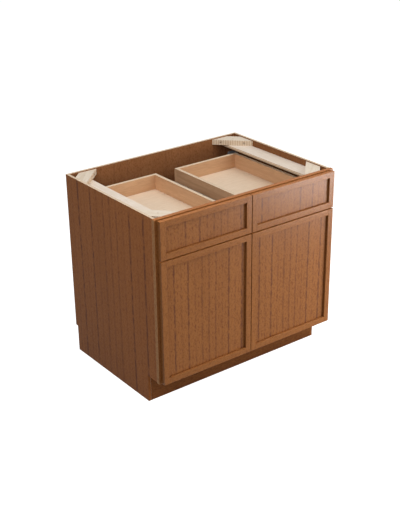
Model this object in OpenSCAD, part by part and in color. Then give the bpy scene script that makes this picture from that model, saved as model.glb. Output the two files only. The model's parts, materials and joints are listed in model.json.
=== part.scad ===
// Framed kitchen base cabinet: two drawers over a pair of doors, open at the top for a worktop.
// X runs to the right, Y to the back and Z up. The origin is on the floor, under the middle
// of the overall box. Each piece is drawn for the right-hand side and mirrored for the left.

/* [Case] */
// Width over the face frame
cabinet_w = 965.2; // [900:1:1060]
// Height, without a worktop
cabinet_h = 876.3; // [850:1:920]
// Depth from the front of the face frame to the back
cabinet_d = 685.8; // [650:1:760]
// Thickness of the side panels
side_t = 12.7; // [10:0.1:18]
// Step from the edge of the face frame in to the side panel
side_inset = 4; // [0:0.5:8]
// Thickness of the back panel
back_t = 12.7; // [8:0.1:18]
// Thickness of the cupboard floor
floor_t = 12.7; // [10:0.1:18]
// Depth of the grooves in the side panels that hold the floor
floor_groove = 5; // [3:0.5:7]
// Height of the toe space at the front
toe_h = 127; // [100:1:140]
// Depth of the toe space behind the front of the face frame
toe_d = 90; // [60:0.5:110]
// Thickness of the toe board
toe_board_t = 12.7; // [10:0.1:18]
// Height of the notch at the bottom rear corners
rear_notch_h = 127; // [60:1:140]
// Depth of the notch at the bottom rear corners
rear_notch_d = 15; // [5:0.5:30]

/* [Face frame] */
// Thickness of the face frame
frame_t = 19; // [16:0.5:22]
// Width of the outer stiles
outer_stile_w = 50.8; // [46:0.1:60]
// Width of the stile between the drawers
centre_stile_w = 76.2; // [50:0.1:90]
// Height of the top rail
top_rail_h = 38; // [30:0.5:45]
// Height of the rail between drawers and doors
mid_rail_h = 38; // [30:0.5:50]
// Height of the bottom rail
bottom_rail_h = 38; // [30:0.5:50]
// Length of the tenons of the face frame
tenon_l = 12; // [6:0.5:20]
// Thickness of the tenons of the face frame
tenon_t = 6.5; // [5:0.1:8]
// Step from the edges of a rail to its tenon
tenon_shoulder = 6; // [4:0.5:10]
// Free space at the end of a tenon
tenon_play = 0.3; // [0:0.1:0.8]

/* [Top bracing] */
// Length of a corner block along each wall
block_leg = 138; // [110:1:150]
// Length cut off the right-angled corner of a block
block_clip = 46; // [20:1:50]
// Thickness of a corner block
block_t = 25; // [18:0.5:26]
// Step from the top of the case down to a corner block
block_drop = 5; // [0:0.5:8]
// Width of the strips along the sides
strip_w = 83; // [70:1:95]
// Thickness of the strips along the sides
strip_t = 12.7; // [9:0.1:16]
// Radius of the holes for the worktop screws
worktop_hole_r = 2.4; // [2:0.1:4]
// Distance of a worktop hole from both walls
worktop_hole_in = 48; // [40:1:55]

/* [Fronts] */
// Thickness of doors and drawer fronts
front_t = 19; // [18:0.5:22]
// Gap between the fronts and the face frame, filled by the bumpers
front_gap = 3.5; // [3.3:0.1:4]
// Step from the edge of the face frame in to the fronts
front_reveal = 11.7; // [10:0.1:14]
// Step from the top of the case down to the drawer fronts
top_reveal = 4; // [2:0.5:10]
// Gap between left and right fronts
split_gap = 3.5; // [2.5:0.5:6]
// Gap between drawer fronts and doors
row_gap = 6; // [3:0.5:8]
// Height of the drawer fronts
drawer_front_h = 169.3; // [160:0.1:180]
// Step from the bottom of the face frame up to the doors
door_rise = 2.5; // [0:0.5:8]
// Width of the stiles and rails of the fronts
member_w = 27; // [26:0.5:40]
// Depth of the centre panel behind the front of its frame
panel_recess = 10; // [9:0.5:10]
// Thickness of the lip behind the panel groove
back_lip = 3; // [2.5:0.5:4]
// Depth of the panel groove
groove_d = 9; // [7:0.5:10]
// Free space of a panel at the bottom of its groove
panel_play = 0.5; // [0.1:0.1:1]
// Radius of a bumper
bumper_r = 5; // [4:0.5:6]

/* [Drawer boxes] */
// Thickness of the sides, the front and the back of a drawer box
box_t = 15.9; // [12:0.1:18]
// Height of a drawer box
box_h = 88; // [70:1:95]
// Length of a drawer box
box_len = 609; // [500:1:620]
// Free space between a drawer box and its opening on each side
box_clearance = 14.5; // [11:0.5:20]
// Height of the underside of a box above the middle rail
box_lift = 12; // [11:0.5:14]
// Step from the underside of a box up to its bottom panel
bottom_step = 12.7; // [12:0.1:15]
// Thickness of a drawer bottom panel
bottom_t = 6; // [5:0.5:9]
// Depth to which a bottom panel enters the four walls
bottom_groove = 6; // [4:0.5:8]
// Free space at the bottom of the groove for a bottom panel
groove_play = 0.3; // [0.1:0.1:1]
// Height of the middle rail above the lower edge of the drawer fronts
rail_cover = 3; // [2:0.5:6]
// Distance of the drawer front screws from the sides of the box
front_screw_in = 60; // [40:1:90]
// Depth to which a drawer front screw enters the front
front_screw_l = 8.5; // [6:0.5:8.5]

/* [Drawer slides] */
// Sheet thickness of the slide members
slide_t = 1.5; // [1.2:0.1:1.6]
// Width of a slide under the drawer
slide_w = 34; // [28:1:40]
// Running gap between the members of a slide
slide_play = 0.3; // [0.2:0.05:0.4]
// Length of a slide
slide_len = 590; // [480:5:595]
// Step from the face frame back to the front end of a slide
slide_setback = 14.5; // [14:0.5:18]
// Step from the face frame back to the front ends of the fixed rails
rail_setback = 2; // [0:0.5:6]
// Free space between a drawer side and the members beside it
slide_in = 2; // [1:0.5:4]
// Free space between the fixed rails and the underside of a box
rail_gap = 0.5; // [0.3:0.1:1]
// Free space between a drawer side and the flange beside it
flange_gap = 4; // [2:0.5:6]
// Height of the flange beside a drawer
flange_h = 38; // [25:1:45]
// Free space between a slide and its notch in the back of a box
notch_play = 2; // [1:0.5:4]
// Length of a front clip
clip_l = 40; // [30:1:60]
// Width of a front clip
clip_w = 34; // [25:1:40]
// Height of a front clip, down from the bottom panel
clip_drop = 11; // [8:0.5:12]
// Height of the rear brackets next to the case sides
outer_bracket_h = 85; // [50:1:88]
// Height of the rear brackets in the middle of the case
inner_bracket_h = 36; // [34:1:60]
// Width of the rear brackets
bracket_w = 30; // [20:1:34]
// Thickness of the rear brackets
bracket_t = 4; // [2:0.5:5]
// Part of a bracket's length that slopes up to its level top
bracket_slope = 0.62; // [0.2:0.01:0.8]
// Length of a bracket alongside its slide
bracket_grip = 45; // [20:1:60]

/* [Hinges] */
// Radius of a hinge cup bore
cup_r = 13; // [12:0.1:13]
// Depth of a hinge cup bore
cup_depth = 8; // [7:0.5:8]
// Wood left between a cup bore and the edge of the door
cup_edge = 3; // [2.5:0.1:3.5]
// Sheet thickness of a cup
cup_t = 0.8; // [0.6:0.1:1]
// Free space around a cup in its bore
cup_play = 0.1; // [0.05:0.05:0.2]
// Width of the ears above and below a cup
cup_ear_w = 14; // [10:0.5:16]
// Length of an ear beyond the cup
cup_ear_l = 9; // [6:0.5:12]
// Thickness of the ears
cup_ear_t = 1.2; // [0.8:0.1:1.5]
// Distance of a hinge from the top or the bottom of the door
hinge_end = 90; // [60:1:140]
// Thickness of a hinge arm
arm_t = 1.2; // [1:0.1:1.3]
// Height of a hinge arm
arm_h = 5; // [4:0.5:5]
// Free space between a hinge arm and the rim of its cup
arm_rim_gap = 1.2; // [1:0.1:1.5]
// Depth of the arm's end inside the cup
arm_dive = 4.1; // [3.8:0.1:4.5]
// Length of the arm's end along the bottom of the cup
arm_toe = 7.2; // [6:0.1:8]
// Distance of a hinge pin from the edge of the stile
pin_out = 7.2; // [6.5:0.1:8]
// Distance of a hinge pin in front of the face frame
pin_forward = 0.7; // [0.3:0.1:0.9]
// Radius of the hinge pins
pin_r = 1; // [0.8:0.1:1.1]
// Running gap around the hinge pins
pin_play = 0.06; // [0.02:0.01:0.1]
// Radius of the eye around a hinge pin
eye_r = 2.2; // [1.8:0.1:2.3]
// Height of a hinge base
base_h = 44; // [30:1:60]
// Thickness of a hinge base on the stile
base_t = 1.5; // [1:0.1:2]
// Step from the faces of the face frame in to a hinge base
base_margin = 1; // [0.5:0.5:3]
// Thickness of the ears that hold a hinge pin
ear_t = 1.5; // [1:0.1:2]
// Step in from the round end of an ear to its straight edges
ear_waist = 0.5; // [0.2:0.1:0.8]
// Free space between a hinge arm and the ears
ear_gap = 0.3; // [0.2:0.05:0.5]
// Distance of the base screws from the ends of the base
base_screw_in = 8; // [6:0.5:9]

/* [Shelf] */
// Thickness of the shelf
shelf_t = 19; // [16:0.5:22]
// Shelf pin row in use, counted from the lowest row
shelf_row = 3; // [0:1:5]
// Number of rows of shelf pin holes
shelf_rows = 6; // [6:1:7]
// Height of the lowest row above the cupboard floor
first_row = 160; // [120:1:170]
// Step between the rows
row_step = 32; // [25:1:32]
// Distance of the pin holes from the front and back edges of the shelf
pin_in = 60; // [40:1:120]
// Radius of a shelf pin
shelf_pin_r = 2.5; // [2:0.1:3]
// Depth of a shelf pin hole
pin_hole_d = 8; // [6:0.5:9]
// Free space around a shelf pin in its hole
pin_hole_play = 0.1; // [0.05:0.05:0.2]
// Length of a shelf pin under the shelf
pin_reach = 10; // [6:0.5:14]
// Gap between the shelf and the walls
shelf_play = 1.5; // [1:0.5:3]
// Step from the face frame back to the front of the shelf
shelf_setback = 25; // [5:1:60]

/* [Screws] */
// Radius of a screw shank
shank_r = 2; // [1.5:0.1:2.5]
// Radius of a screw head
head_r = 4; // [3:0.1:4.5]
// Thickness of a screw head
head_t = 2.5; // [1.5:0.1:3]
// Free space around a screw head in its hole
head_play = 0.5; // [0.3:0.1:1]
// Depth to which a screw enters the second piece
bite = 9; // [6:0.5:9]
// Distance of a block screw from the wall that it runs beside
block_screw_in = 108; // [90:1:120]
// Wood under the head of a block screw
block_screw_seat = 12; // [8:0.5:20]

/* [Hidden] */
$fn = 48;

// Planes of the case, front to back
face_y = (front_t + front_gap - cabinet_d) / 2;
frame_back = face_y + frame_t;
back_y = face_y + cabinet_d;
back_inner = back_y - back_t;
front_back_y = face_y - front_gap;
front_y = front_back_y - front_t;
toe_y = face_y + toe_d;

// Planes of the case, middle to right
frame_x = cabinet_w / 2;
side_x = frame_x - side_inset;
side_inner = side_x - side_t;
opening_x = frame_x - outer_stile_w;
centre_x = centre_stile_w / 2;

// Heights
top_rail_z = cabinet_h - top_rail_h;
drawer_front_top = cabinet_h - top_reveal;
drawer_front_z = drawer_front_top - drawer_front_h;
door_top = drawer_front_z - row_gap;
door_z = toe_h + door_rise;
mid_rail_top = drawer_front_z + rail_cover;
mid_rail_z = mid_rail_top - mid_rail_h;
floor_top = toe_h + bottom_rail_h;
floor_z = floor_top - floor_t;
block_top = cabinet_h - block_drop;
block_z = block_top - block_t;
strip_top = block_z;
strip_z = strip_top - strip_t;

// Drawer box of the right drawer
box_x0 = centre_x + box_clearance;
box_x1 = opening_x - box_clearance;
box_y0 = front_back_y;
box_y1 = box_y0 + box_len;
box_z0 = mid_rail_top + box_lift;
box_z1 = box_z0 + box_h;
bottom_z0 = box_z0 + bottom_step;
bottom_z1 = bottom_z0 + bottom_t;

// Fronts of the right half
front_x0 = split_gap / 2;
front_x1 = frame_x - front_reveal;
panel_y = front_y + panel_recess;
groove_y1 = front_back_y - back_lip;
bumper_in = member_w / 2;

// Slide cross-section, measured from the face of a drawer side
slide_y0 = face_y + slide_setback;
slide_y1 = slide_y0 + slide_len;
rail_front_y = face_y + rail_setback;
rail_z = mid_rail_top;
rail_lip_z = box_z0 - rail_gap;
runner_z = box_z0 + slide_play;
middle_z0 = rail_z + slide_t + slide_play;
middle_z1 = bottom_z0 - slide_t - slide_play;
middle_web_z = (middle_z0 + middle_z1 - slide_t) / 2;

// Hinge, measured inwards from the outer edge of a door (u) and from the face frame (v)
cup_u = cup_edge + cup_r;
overlay = outer_stile_w - front_reveal;
base_v0 = base_margin;
base_v1 = frame_t - base_margin;
pin_u = overlay + pin_out;
pin_v = -pin_forward;
arm_v = -front_gap / 2;
arm_turn_u = cup_u + cup_r - cup_t - arm_t - arm_rim_gap;
arm_tip_u = arm_turn_u - arm_toe;
arm_tip_v = -front_gap - arm_dive;
hinge_zs = [door_z + hinge_end, door_top - hinge_end];
base_screw_z = base_h / 2 - base_screw_in;

// Shelf
shelf_x = side_inner - shelf_play;
shelf_y0 = frame_back + shelf_setback;
shelf_y1 = back_inner - shelf_play;
row_z0 = floor_top + first_row;
shelf_z = row_z0 + shelf_row * row_step + shelf_pin_r;
pin_ys = [shelf_y0 + pin_in, shelf_y1 - pin_in];

// Overlap of a cut with the face that it starts from
eps = 0.01;

// A block between two corners
module span(low, high) {
    translate(low) cube(high - low);
}

// The same piece on the left
module on_left() {
    mirror([1, 0, 0]) children();
}

module on_both() {
    children();
    on_left() children();
}

// A round rod along Y, from one plane to another
module rod_y(x, y0, y1, z, r) {
    translate([x, y0, z]) rotate([-90, 0, 0]) cylinder(r = r, h = y1 - y0);
}

// A round rod along X, from one plane to another
module rod_x(x0, x1, y, z, r) {
    translate([x0, y, z]) rotate([0, 90, 0]) cylinder(r = r, h = x1 - x0);
}

// Case panels

module block_screw_pilots() {
    for (back = [0, 1]) {
        y = back ? back_inner - block_screw_in : frame_back + block_screw_in;
        rod_x(side_inner - eps, side_inner + bite, y, block_z + block_t / 2, shank_r);
    }
}

module side_panel() {
    color("saddlebrown") difference() {
        span([side_inner, frame_back, 0], [side_x, back_y, cabinet_h]);
        span([side_inner - eps, frame_back - eps, -eps], [side_x + eps, toe_y, toe_h]);
        span([side_inner - eps, back_y - rear_notch_d, -eps], [side_x + eps, back_y + eps, rear_notch_h]);
        span([side_inner - eps, frame_back - eps, floor_z], [side_inner + floor_groove, back_inner, floor_top]);
        for (y = pin_ys, row = [0 : shelf_rows - 1])
            rod_x(side_inner - eps, side_inner + pin_hole_d, y, row_z0 + row * row_step,
                shelf_pin_r + pin_hole_play);
        block_screw_pilots();
    }
}

module side_panel_right() {
    side_panel();
}

module side_panel_left() {
    on_left() side_panel();
}

module back_panel() {
    color("saddlebrown") difference() {
        span([-side_inner, back_inner, rear_notch_h], [side_inner, back_y, cabinet_h]);
        on_both() rod_y(side_inner - block_screw_in, back_inner - eps, back_inner + bite,
            block_z + block_t / 2, shank_r);
    }
}

module floor_panel() {
    color("sienna") span([-side_inner - floor_groove, frame_back, floor_z],
        [side_inner + floor_groove, back_inner, floor_top]);
}

module toe_board() {
    color("saddlebrown") span([-side_inner, toe_y, 0], [side_inner, toe_y + toe_board_t, floor_z]);
}

// Face frame

// The tenon at the right-hand end of a rail, or its mortise when given some play
module rail_tenon(z0, h, play) {
    y0 = face_y + (frame_t - tenon_t) / 2;
    span([opening_x - eps, y0, z0 + tenon_shoulder],
        [opening_x + tenon_l + play, y0 + tenon_t, z0 + h - tenon_shoulder]);
}

// The tenon of the centre stile, or its mortise when given some play
module stile_tenon(z0, z1) {
    y0 = face_y + (frame_t - tenon_t) / 2;
    span([-centre_x + tenon_shoulder, y0, z0], [centre_x - tenon_shoulder, y0 + tenon_t, z1]);
}

module frame_stile() {
    color("peru") difference() {
        span([opening_x, face_y, toe_h], [frame_x, frame_back, cabinet_h]);
        rail_tenon(top_rail_z, top_rail_h, tenon_play);
        rail_tenon(mid_rail_z, mid_rail_h, tenon_play);
        rail_tenon(toe_h, bottom_rail_h, tenon_play);
        base_screw_holes();
    }
}

module frame_stile_right() {
    frame_stile();
}

module frame_stile_left() {
    on_left() frame_stile();
}

module frame_rail(z0, h) {
    span([-opening_x, face_y, z0], [opening_x, frame_back, z0 + h]);
    on_both() rail_tenon(z0, h, 0);
}

module frame_top_rail() {
    color("peru") difference() {
        frame_rail(top_rail_z, top_rail_h);
        stile_tenon(top_rail_z - eps, top_rail_z + tenon_l + tenon_play);
        on_both() rod_y(side_inner - block_screw_in, frame_back - bite, frame_back + eps,
            block_z + block_t / 2, shank_r);
    }
}

module frame_mid_rail() {
    color("peru") difference() {
        frame_rail(mid_rail_z, mid_rail_h);
        stile_tenon(mid_rail_top - tenon_l - tenon_play, mid_rail_top + eps);
    }
}

module frame_bottom_rail() {
    color("peru") frame_rail(toe_h, bottom_rail_h);
}

module frame_centre_stile() {
    color("peru") {
        span([-centre_x, face_y, mid_rail_top], [centre_x, frame_back, top_rail_z]);
        stile_tenon(mid_rail_top - tenon_l, top_rail_z + tenon_l);
    }
}

// Bracing at the top of the case

module worktop_hole(y, z0, z1) {
    translate([side_inner - worktop_hole_in, y, z0 - eps])
        cylinder(r = worktop_hole_r, h = z1 - z0 + 2 * eps);
}

module strip() {
    color("wheat") difference() {
        span([side_inner - strip_w, frame_back, strip_z], [side_inner, back_inner, strip_top]);
        worktop_hole(frame_back + worktop_hole_in, strip_z, strip_top);
        worktop_hole(back_inner - worktop_hole_in, strip_z, strip_top);
    }
}

module strip_right() {
    strip();
}

module strip_left() {
    on_left() strip();
}

// A corner block in the rear right corner, with the wall corner at [0, 0] and the room at -X, -Y
module corner_block_shape() {
    mid_z = block_t / 2;
    difference() {
        linear_extrude(block_t) polygon([
            [-block_clip, 0], [-block_leg, 0], [0, -block_leg], [0, -block_clip]
        ]);
        translate([-worktop_hole_in, -worktop_hole_in, -eps])
            cylinder(r = worktop_hole_r, h = block_t + 2 * eps);
        rod_y(-block_screw_in, -block_leg, -block_screw_seat, mid_z, head_r + head_play);
        rod_y(-block_screw_in, -block_leg, eps, mid_z, shank_r);
        rod_x(-block_leg, -block_screw_seat, -block_screw_in, mid_z, head_r + head_play);
        rod_x(-block_leg, eps, -block_screw_in, mid_z, shank_r);
    }
}

module corner_block_rear_right() {
    color("wheat") translate([side_inner, back_inner, block_z]) corner_block_shape();
}

module corner_block_rear_left() {
    on_left() corner_block_rear_right();
}

module corner_block_front_right() {
    color("wheat") translate([side_inner, frame_back, block_z])
        mirror([0, 1, 0]) corner_block_shape();
}

module corner_block_front_left() {
    on_left() corner_block_front_right();
}

// Screws

// A screw along Y whose head sits at y and whose point goes to the back
module screw_y(x, y, z, l) {
    rod_y(x, y - head_t, y, z, head_r);
    rod_y(x, y - eps, y + l, z, shank_r);
}

// A screw along X whose head sits at x and whose point goes to the right
module screw_x(x, y, z, l) {
    rod_x(x - head_t, x, y, z, head_r);
    rod_x(x - eps, x + l, y, z, shank_r);
}

module base_screw_holes() {
    for (z = hinge_zs, side = [-1, 1])
        rod_x(opening_x - eps, opening_x + bite, face_y + (base_v0 + base_v1) / 2,
            z + side * base_screw_z, shank_r);
}

module case_screws() {
    z = block_z + block_t / 2;
    color("dimgray") on_both() {
        screw_y(side_inner - block_screw_in, back_inner - block_screw_seat, z, block_screw_seat + bite);
        translate([0, frame_back + block_screw_seat, 0]) mirror([0, 1, 0])
            screw_y(side_inner - block_screw_in, 0, z, block_screw_seat + bite);
        for (y = [frame_back + block_screw_in, back_inner - block_screw_in])
            screw_x(side_inner - block_screw_seat, y, z, block_screw_seat + bite);
        for (hz = hinge_zs, side = [-1, 1])
            screw_x(opening_x - base_t, face_y + (base_v0 + base_v1) / 2,
                hz + side * base_screw_z, base_t + bite);
    }
}

// Shelf

module shelf() {
    color("sienna") span([-shelf_x, shelf_y0, shelf_z], [shelf_x, shelf_y1, shelf_z + shelf_t]);
}

module shelf_pins() {
    color("silver") on_both() for (y = pin_ys)
        rod_x(side_inner - pin_reach, side_inner + pin_hole_d - pin_hole_play, y,
            shelf_z - shelf_pin_r, shelf_pin_r);
}

// Drawer slides

// Draws a slide profile at both sides of the right drawer. Its X counts from the inner face
// of a drawer side towards the middle of the drawer.
module at_drawer_sides() {
    translate([box_x0 + box_t, 0, 0]) children();
    translate([box_x1 - box_t, 0, 0]) mirror([1, 0, 0]) children();
}

module slide_rail() {
    wall_x1 = slide_in + slide_w;
    flange_x = -box_t - flange_gap - slide_t;
    span([flange_x, rail_front_y, rail_z], [wall_x1, slide_y1, rail_z + slide_t]);
    span([flange_x, rail_front_y, rail_z], [flange_x + slide_t, slide_y1, rail_z + flange_h]);
    for (x = [slide_in, wall_x1 - slide_t])
        span([x, rail_front_y, rail_z], [x + slide_t, slide_y1, rail_lip_z]);
}

module slide_rails() {
    color("silver") on_both() at_drawer_sides() slide_rail();
}

module slide_middle() {
    x0 = slide_in + slide_t + slide_play;
    x1 = slide_in + slide_w - slide_t - slide_play;
    for (x = [x0, x1 - slide_t])
        span([x, slide_y0, middle_z0], [x + slide_t, slide_y1, middle_z1]);
    span([x0, slide_y0, middle_web_z], [x1, slide_y1, middle_web_z + slide_t]);
}

module slide_middles_right() {
    color("gainsboro") at_drawer_sides() slide_middle();
}

module slide_middles_left() {
    on_left() slide_middles_right();
}

module runner() {
    wall_x1 = slide_in + slide_w;
    span([slide_in, slide_y0, bottom_z0 - slide_t], [wall_x1, slide_y1, bottom_z0]);
    for (x = [slide_in, wall_x1 - slide_t])
        span([x, slide_y0, runner_z], [x + slide_t, slide_y1, bottom_z0]);
}

module drawer_right_runners() {
    color("silver") at_drawer_sides() runner();
}

module drawer_left_runners() {
    on_left() drawer_right_runners();
}

// A bracket on the back panel that holds the rear end of a slide by its flange
module slide_bracket(h) {
    x1 = -box_t - flange_gap - slide_t;
    y0 = slide_y1 - bracket_grip;
    top_y = y0 + (back_inner - y0) * bracket_slope;
    top_z = rail_z + h;
    span([x1 - bracket_w, back_inner - bracket_t, rail_z], [x1, back_inner, top_z]);
    span([x1 - bracket_w, top_y, top_z - bracket_t], [x1, back_inner, top_z]);
    translate([x1 - bracket_t, 0, 0]) rotate([90, 0, 90]) linear_extrude(bracket_t) polygon([
        [y0, rail_z], [back_inner, rail_z], [back_inner, top_z], [top_y, top_z],
        [y0, rail_z + flange_h]
    ]);
}

module slide_brackets() {
    color("dimgray") on_both() {
        translate([box_x0 + box_t, 0, 0]) slide_bracket(inner_bracket_h);
        translate([box_x1 - box_t, 0, 0]) mirror([1, 0, 0]) slide_bracket(outer_bracket_h);
    }
}

module clip() {
    x0 = slide_in + slide_w;
    y0 = box_y0 + box_t;
    span([x0, y0, bottom_z0 - clip_drop], [x0 + clip_w, y0 + clip_l, bottom_z0]);
}

module drawer_right_clips() {
    color("darkgray") at_drawer_sides() clip();
}

module drawer_left_clips() {
    on_left() drawer_right_clips();
}

// Drawer boxes

// The bottom panel of a box, or the groove for it when given some play
module bottom_shape(play) {
    reach = bottom_groove + play;
    span([box_x0 + box_t - reach, box_y0 + box_t - reach, bottom_z0],
        [box_x1 - box_t + reach, box_y1 - box_t + reach, bottom_z1]);
}

module drawer_right_bottom() {
    color("burlywood") bottom_shape(0);
}

module drawer_left_bottom() {
    on_left() drawer_right_bottom();
}

module front_screw_places() {
    x0 = box_x0 + front_screw_in;
    x1 = box_x1 - front_screw_in;
    z_step = (box_z1 - bottom_z1) / 4;
    for (x = [x0, x1], z = [bottom_z1 + z_step, box_z1 - z_step])
        translate([x, 0, z]) children();
}

module drawer_right_box_front() {
    color("tan") difference() {
        span([box_x0, box_y0, box_z0], [box_x1, box_y0 + box_t, box_z1]);
        bottom_shape(groove_play);
        front_screw_places() rod_y(0, box_y0 - eps, box_y0 + box_t + eps, 0, shank_r);
    }
}

module drawer_left_box_front() {
    on_left() drawer_right_box_front();
}

module drawer_right_box_back() {
    color("tan") difference() {
        span([box_x0, box_y1 - box_t, box_z0], [box_x1, box_y1, box_z1]);
        bottom_shape(groove_play);
        at_drawer_sides() span([0, box_y1 - box_t - eps, box_z0 - eps],
            [slide_in + slide_w + notch_play, box_y1 + eps, bottom_z0]);
    }
}

module drawer_left_box_back() {
    on_left() drawer_right_box_back();
}

module drawer_right_box_sides() {
    color("tan") difference() {
        for (x = [box_x0, box_x1 - box_t])
            span([x, box_y0 + box_t, box_z0], [x + box_t, box_y1 - box_t, box_z1]);
        bottom_shape(groove_play);
    }
}

module drawer_left_box_sides() {
    on_left() drawer_right_box_sides();
}

module drawer_right_screws() {
    color("silver") front_screw_places() mirror([0, 1, 0])
        screw_y(0, -box_y0 - box_t, 0, box_t + front_screw_l);
}

module drawer_left_screws() {
    on_left() drawer_right_screws();
}

// Framed fronts, drawn for the right half between two heights

module front_stiles(z0, z1) {
    for (side = [0, 1]) {
        x0 = side ? front_x1 - member_w : front_x0;
        groove_x = side ? x0 : x0 + member_w - groove_d;
        difference() {
            span([x0, front_y, z0], [x0 + member_w, front_back_y, z1]);
            span([groove_x - (side ? eps : 0), panel_y, z0 - eps],
                [groove_x + groove_d + (side ? 0 : eps), groove_y1, z1 + eps]);
        }
    }
}

module front_rails(z0, z1) {
    x0 = front_x0 + member_w;
    x1 = front_x1 - member_w;
    reach = groove_d - panel_play;
    for (top = [0, 1]) {
        rail_z0 = top ? z1 - member_w : z0;
        groove_z = top ? rail_z0 : rail_z0 + member_w - groove_d;
        difference() {
            union() {
                span([x0, front_y, rail_z0], [x1, front_back_y, rail_z0 + member_w]);
                span([x0 - reach, panel_y, rail_z0], [x1 + reach, groove_y1, rail_z0 + member_w]);
            }
            span([x0 - groove_d, panel_y, groove_z - (top ? eps : 0)],
                [x1 + groove_d, groove_y1, groove_z + groove_d + (top ? 0 : eps)]);
        }
    }
}

module front_panel(z0, z1) {
    x0 = front_x0 + member_w;
    x1 = front_x1 - member_w;
    reach = groove_d - panel_play;
    span([x0, panel_y, z0 + member_w], [x1, front_back_y, z1 - member_w]);
    span([x0 - reach, panel_y, z0 + member_w - reach], [x1 + reach, groove_y1, z1 - member_w + reach]);
}

module bumpers(xs, zs) {
    for (x = xs, z = zs) rod_y(x, front_back_y, face_y, z, bumper_r);
}

module drawer_right_front_stiles() {
    color("chocolate") front_stiles(drawer_front_z, drawer_front_top);
}

module drawer_left_front_stiles() {
    on_left() drawer_right_front_stiles();
}

module drawer_right_front_rails() {
    color("chocolate") front_rails(drawer_front_z, drawer_front_top);
}

module drawer_left_front_rails() {
    on_left() drawer_right_front_rails();
}

module drawer_right_front_panel() {
    color("sienna") difference() {
        front_panel(drawer_front_z, drawer_front_top);
        front_screw_places() rod_y(0, front_back_y - front_screw_l, front_back_y + eps, 0, shank_r);
    }
}

module drawer_left_front_panel() {
    on_left() drawer_right_front_panel();
}

module drawer_right_bumpers() {
    color("lightgray") bumpers([front_x0 + bumper_in, front_x1 - bumper_in],
        [drawer_front_z + bumper_in, drawer_front_top - bumper_in]);
}

module drawer_left_bumpers() {
    on_left() drawer_right_bumpers();
}

// Doors and hinges

module cup_bores() {
    for (z = hinge_zs)
        rod_y(front_x1 - cup_u, front_back_y - cup_depth, front_back_y + eps, z, cup_r);
}

module door_right_stiles() {
    color("chocolate") difference() {
        front_stiles(door_z, door_top);
        cup_bores();
    }
}

module door_left_stiles() {
    on_left() door_right_stiles();
}

module door_right_rails() {
    color("chocolate") front_rails(door_z, door_top);
}

module door_left_rails() {
    on_left() door_right_rails();
}

module door_right_panel() {
    color("sienna") difference() {
        front_panel(door_z, door_top);
        cup_bores();
    }
}

module door_left_panel() {
    on_left() door_right_panel();
}

module door_right_bumpers() {
    color("lightgray") bumpers([front_x0 + bumper_in], [door_z + bumper_in, door_top - bumper_in]);
}

module door_left_bumpers() {
    on_left() door_right_bumpers();
}

// A steel cup with an ear above and below it on the back of the door
module door_right_hinge_cups() {
    x = front_x1 - cup_u;
    ear_z = cup_r + cup_ear_l;
    color("silver") for (z = hinge_zs) difference() {
        union() {
            rod_y(x, front_back_y - cup_depth, front_back_y, z, cup_r - cup_play);
            span([x - cup_ear_w / 2, front_back_y, z - ear_z],
                [x + cup_ear_w / 2, front_back_y + cup_ear_t, z + ear_z]);
        }
        rod_y(x, front_back_y - cup_depth + cup_t, front_back_y + cup_ear_t + eps, z, cup_r - cup_t);
    }
}

module door_left_hinge_cups() {
    on_left() door_right_hinge_cups();
}

// Puts a hinge piece, drawn in u and v around z = 0, at both hinges of the right door
module at_hinges() {
    for (z = hinge_zs) translate([front_x1, face_y, z]) mirror([1, 0, 0]) children();
}

module hinge_arm() {
    half = arm_t / 2;
    translate([0, 0, -arm_h / 2]) difference() {
        union() {
            translate([pin_u, pin_v, 0]) cylinder(r = eye_r, h = arm_h);
            span([arm_turn_u - half, arm_v - half, 0], [pin_u, arm_v + half, arm_h]);
            span([arm_turn_u - half, arm_tip_v - half, 0], [arm_turn_u + half, arm_v + half, arm_h]);
            span([arm_tip_u, arm_tip_v - half, 0], [arm_turn_u + half, arm_tip_v + half, arm_h]);
        }
        translate([pin_u, pin_v, -eps]) cylinder(r = pin_r + pin_play, h = arm_h + 2 * eps);
    }
}

module hinge_arms_right() {
    color("silver") at_hinges() hinge_arm();
}

module hinge_arms_left() {
    on_left() hinge_arms_right();
}

// A plate on the edge of the stile, with two ears and a riveted pin
module hinge_base() {
    ear_z = arm_h / 2 + ear_gap;
    plate_u = overlay + base_t;
    difference() {
        span([overlay, base_v0, -base_h / 2], [plate_u, base_v1, base_h / 2]);
        for (side = [-1, 1])
            rod_x(overlay - eps, plate_u + eps, (base_v0 + base_v1) / 2, side * base_screw_z, shank_r);
    }
    for (z = [ear_z, -ear_z - ear_t]) translate([0, 0, z]) {
        linear_extrude(ear_t) polygon([
            [plate_u - eps, base_v0], [pin_u, pin_v - eye_r + ear_waist],
            [pin_u + eye_r - ear_waist, pin_v], [pin_u, pin_v + eye_r],
            [plate_u - eps, base_v1 / 2]
        ]);
        translate([pin_u, pin_v, 0]) cylinder(r = eye_r, h = ear_t);
    }
    translate([pin_u, pin_v, -ear_z - ear_t]) cylinder(r = pin_r, h = 2 * (ear_z + ear_t));
}

module hinge_bases() {
    color("silver") on_both() at_hinges() hinge_base();
}

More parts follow.
